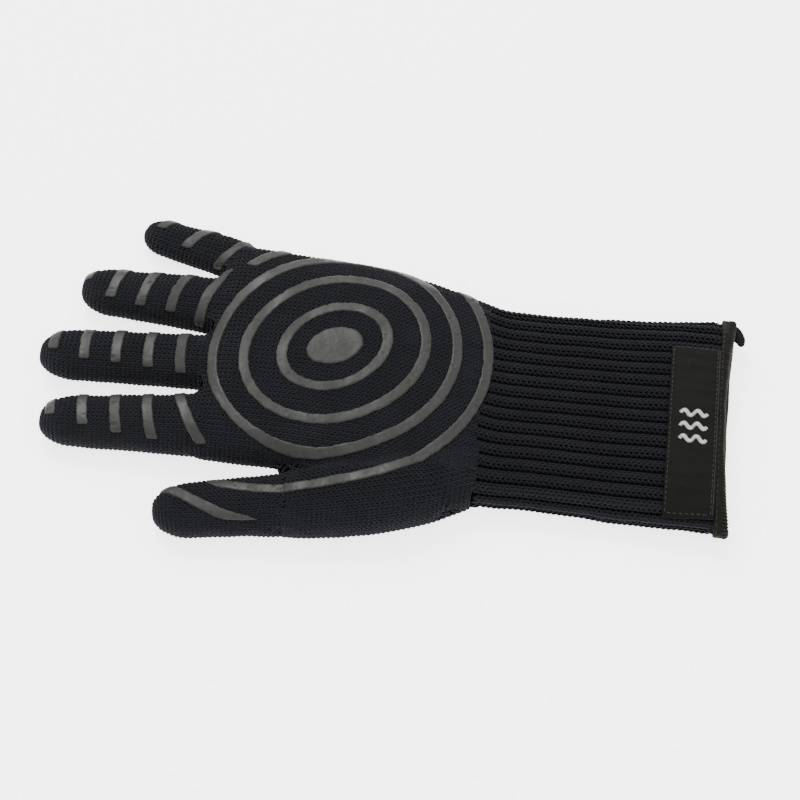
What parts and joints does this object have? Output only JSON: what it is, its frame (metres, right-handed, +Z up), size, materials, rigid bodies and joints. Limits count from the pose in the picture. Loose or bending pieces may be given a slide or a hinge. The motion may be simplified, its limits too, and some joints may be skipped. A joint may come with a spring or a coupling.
{
  "type": "heat resistant glove",
  "caption": "Knitted heat resistant glove with a ribbed cuff, cotton liner, silicone ring print for grip and bending fingers, lying grip side up.",
  "frame": {"origin": "centre of the outline, on the surface that the back of the glove lies on", "axes": "+X along the hand towards the cuff opening, +Y away from the thumb, +Z up, out of the grip side"},
  "size_m": [0.3276, 0.1816, 0.027],
  "materials": {
    "knit": "near-black blue-grey heavy jersey knit, matt with a slight fibre sheen",
    "rib_knit": "near-black blue-grey ribbed knit, matt",
    "liner": "unbleached cotton knit, matt",
    "silicone": "warm grey cured silicone print, satin, slightly rough at its edges",
    "binding": "brown-black woven cotton tape, matt",
    "thread": "dark polyester sewing thread",
    "label": "dark woven damask label with a satin sheen",
    "emblem": "off-white woven threads"
  },
  "bodies": {
    "hand": {"hand_shell": "knit", "hand_liner": "liner", "grip_dot": "silicone", "grip_ring_1": "silicone", "grip_ring_2": "silicone", "grip_ring_3": "silicone", "grip_outer_ring": "silicone", "grip_root_bars": "silicone"},
    "cuff": {"cuff_shell": "rib_knit", "cuff_liner": "liner", "binding_tape": "binding", "binding_tail": "binding", "binding_stitches": "thread", "label": "label", "label_stitches": "thread", "label_emblem": "emblem"},
    "little_proximal": {"little_proximal_shell": "knit", "little_proximal_liner": "liner", "little_proximal_grip": "silicone"},
    "little_middle": {"little_middle_shell": "knit", "little_middle_liner": "liner", "little_middle_grip": "silicone"},
    "little_distal": {"little_distal_shell": "knit", "little_distal_liner": "liner"},
    "ring_proximal": {"ring_proximal_shell": "knit", "ring_proximal_liner": "liner", "ring_proximal_grip": "silicone"},
    "ring_middle": {"ring_middle_shell": "knit", "ring_middle_liner": "liner", "ring_middle_grip": "silicone"},
    "ring_distal": {"ring_distal_shell": "knit", "ring_distal_liner": "liner", "ring_distal_grip": "silicone"},
    "middle_proximal": {"middle_proximal_shell": "knit", "middle_proximal_liner": "liner", "middle_proximal_grip": "silicone"},
    "middle_middle": {"middle_middle_shell": "knit", "middle_middle_liner": "liner", "middle_middle_grip": "silicone"},
    "middle_distal": {"middle_distal_shell": "knit", "middle_distal_liner": "liner", "middle_distal_grip": "silicone"},
    "index_proximal": {"index_proximal_shell": "knit", "index_proximal_liner": "liner", "index_proximal_grip": "silicone"},
    "index_middle": {"index_middle_shell": "knit", "index_middle_liner": "liner", "index_middle_grip": "silicone"},
    "index_distal": {"index_distal_shell": "knit", "index_distal_liner": "liner", "index_distal_grip": "silicone"},
    "thumb_base": {"thumb_base_shell": "knit", "thumb_base_liner": "liner", "thumb_base_grip": "silicone"},
    "thumb_tip": {"thumb_tip_shell": "knit", "thumb_tip_liner": "liner", "thumb_tip_grip": "silicone"}
  },
  "joints": [
    {"name": "wrist", "type": "hinge", "parent": "hand", "child": "cuff", "pos_m": [0.05121, -0.00276, 0.0082], "axis": [0, -1, 0], "range_deg": [-40, 40]},
    {"name": "little_root_bend", "type": "hinge", "parent": "hand", "child": "little_proximal", "pos_m": [-0.08763, 0.07184, 0.01337], "axis": [0.2756, 0.9613, 0], "range_deg": [0, 70]},
    {"name": "little_middle_bend", "type": "hinge", "parent": "little_proximal", "child": "little_middle", "pos_m": [-0.10446, 0.07666, 0.01234], "axis": [0.2756, 0.9613, 0], "range_deg": [0, 74]},
    {"name": "little_tip_bend", "type": "hinge", "parent": "little_middle", "child": "little_distal", "pos_m": [-0.11551, 0.07984, 0.01166], "axis": [0.2756, 0.9613, 0], "range_deg": [0, 44.4]},
    {"name": "ring_root_bend", "type": "hinge", "parent": "hand", "child": "ring_proximal", "pos_m": [-0.08878, 0.04002, 0.01579], "axis": [0.0698, 0.9976, 0], "range_deg": [0, 70]},
    {"name": "ring_middle_bend", "type": "hinge", "parent": "ring_proximal", "child": "ring_middle", "pos_m": [-0.11073, 0.04155, 0.01463], "axis": [0.0698, 0.9976, 0], "range_deg": [0, 74]},
    {"name": "ring_tip_bend", "type": "hinge", "parent": "ring_middle", "child": "ring_distal", "pos_m": [-0.12718, 0.0427, 0.01375], "axis": [0.0698, 0.9976, 0], "range_deg": [0, 44.4]},
    {"name": "middle_root_bend", "type": "hinge", "parent": "hand", "child": "middle_proximal", "pos_m": [-0.08879, 0.00603, 0.01623], "axis": [-0.0262, 0.9997, 0], "range_deg": [0, 70]},
    {"name": "middle_middle_bend", "type": "hinge", "parent": "middle_proximal", "child": "middle_middle", "pos_m": [-0.11628, 0.00531, 0.01503], "axis": [-0.0262, 0.9997, 0], "range_deg": [0, 74]},
    {"name": "middle_tip_bend", "type": "hinge", "parent": "middle_middle", "child": "middle_distal", "pos_m": [-0.14577, 0.00454, 0.01374], "axis": [-0.0262, 0.9997, 0], "range_deg": [0, 44.4]},
    {"name": "index_root_bend", "type": "hinge", "parent": "hand", "child": "index_proximal", "pos_m": [-0.08778, -0.02981, 0.01621], "axis": [-0.061, 0.9981, 0], "range_deg": [0, 70]},
    {"name": "index_middle_bend", "type": "hinge", "parent": "index_proximal", "child": "index_middle", "pos_m": [-0.10774, -0.03103, 0.01525], "axis": [-0.061, 0.9981, 0], "range_deg": [0, 74]},
    {"name": "index_tip_bend", "type": "hinge", "parent": "index_middle", "child": "index_distal", "pos_m": [-0.13819, -0.03289, 0.0138], "axis": [-0.061, 0.9981, 0], "range_deg": [0, 44.4]},
    {"name": "thumb_base_bend", "type": "hinge", "parent": "hand", "child": "thumb_base", "pos_m": [-0.03923, -0.06892, 0.0162], "axis": [-0.165, 0.9863, 0], "range_deg": [0, 50]},
    {"name": "thumb_tip_bend", "type": "hinge", "parent": "thumb_base", "child": "thumb_tip", "pos_m": [-0.07178, -0.07437, 0.01452], "axis": [-0.165, 0.9863, 0], "range_deg": [0, 65]}
  ],
  "couplings": [
    {"joint": "little_tip_bend", "follows": "little_middle_bend", "ratio": 0.6},
    {"joint": "ring_tip_bend", "follows": "ring_middle_bend", "ratio": 0.6},
    {"joint": "middle_tip_bend", "follows": "middle_middle_bend", "ratio": 0.6},
    {"joint": "index_tip_bend", "follows": "index_middle_bend", "ratio": 0.6}
  ]
}
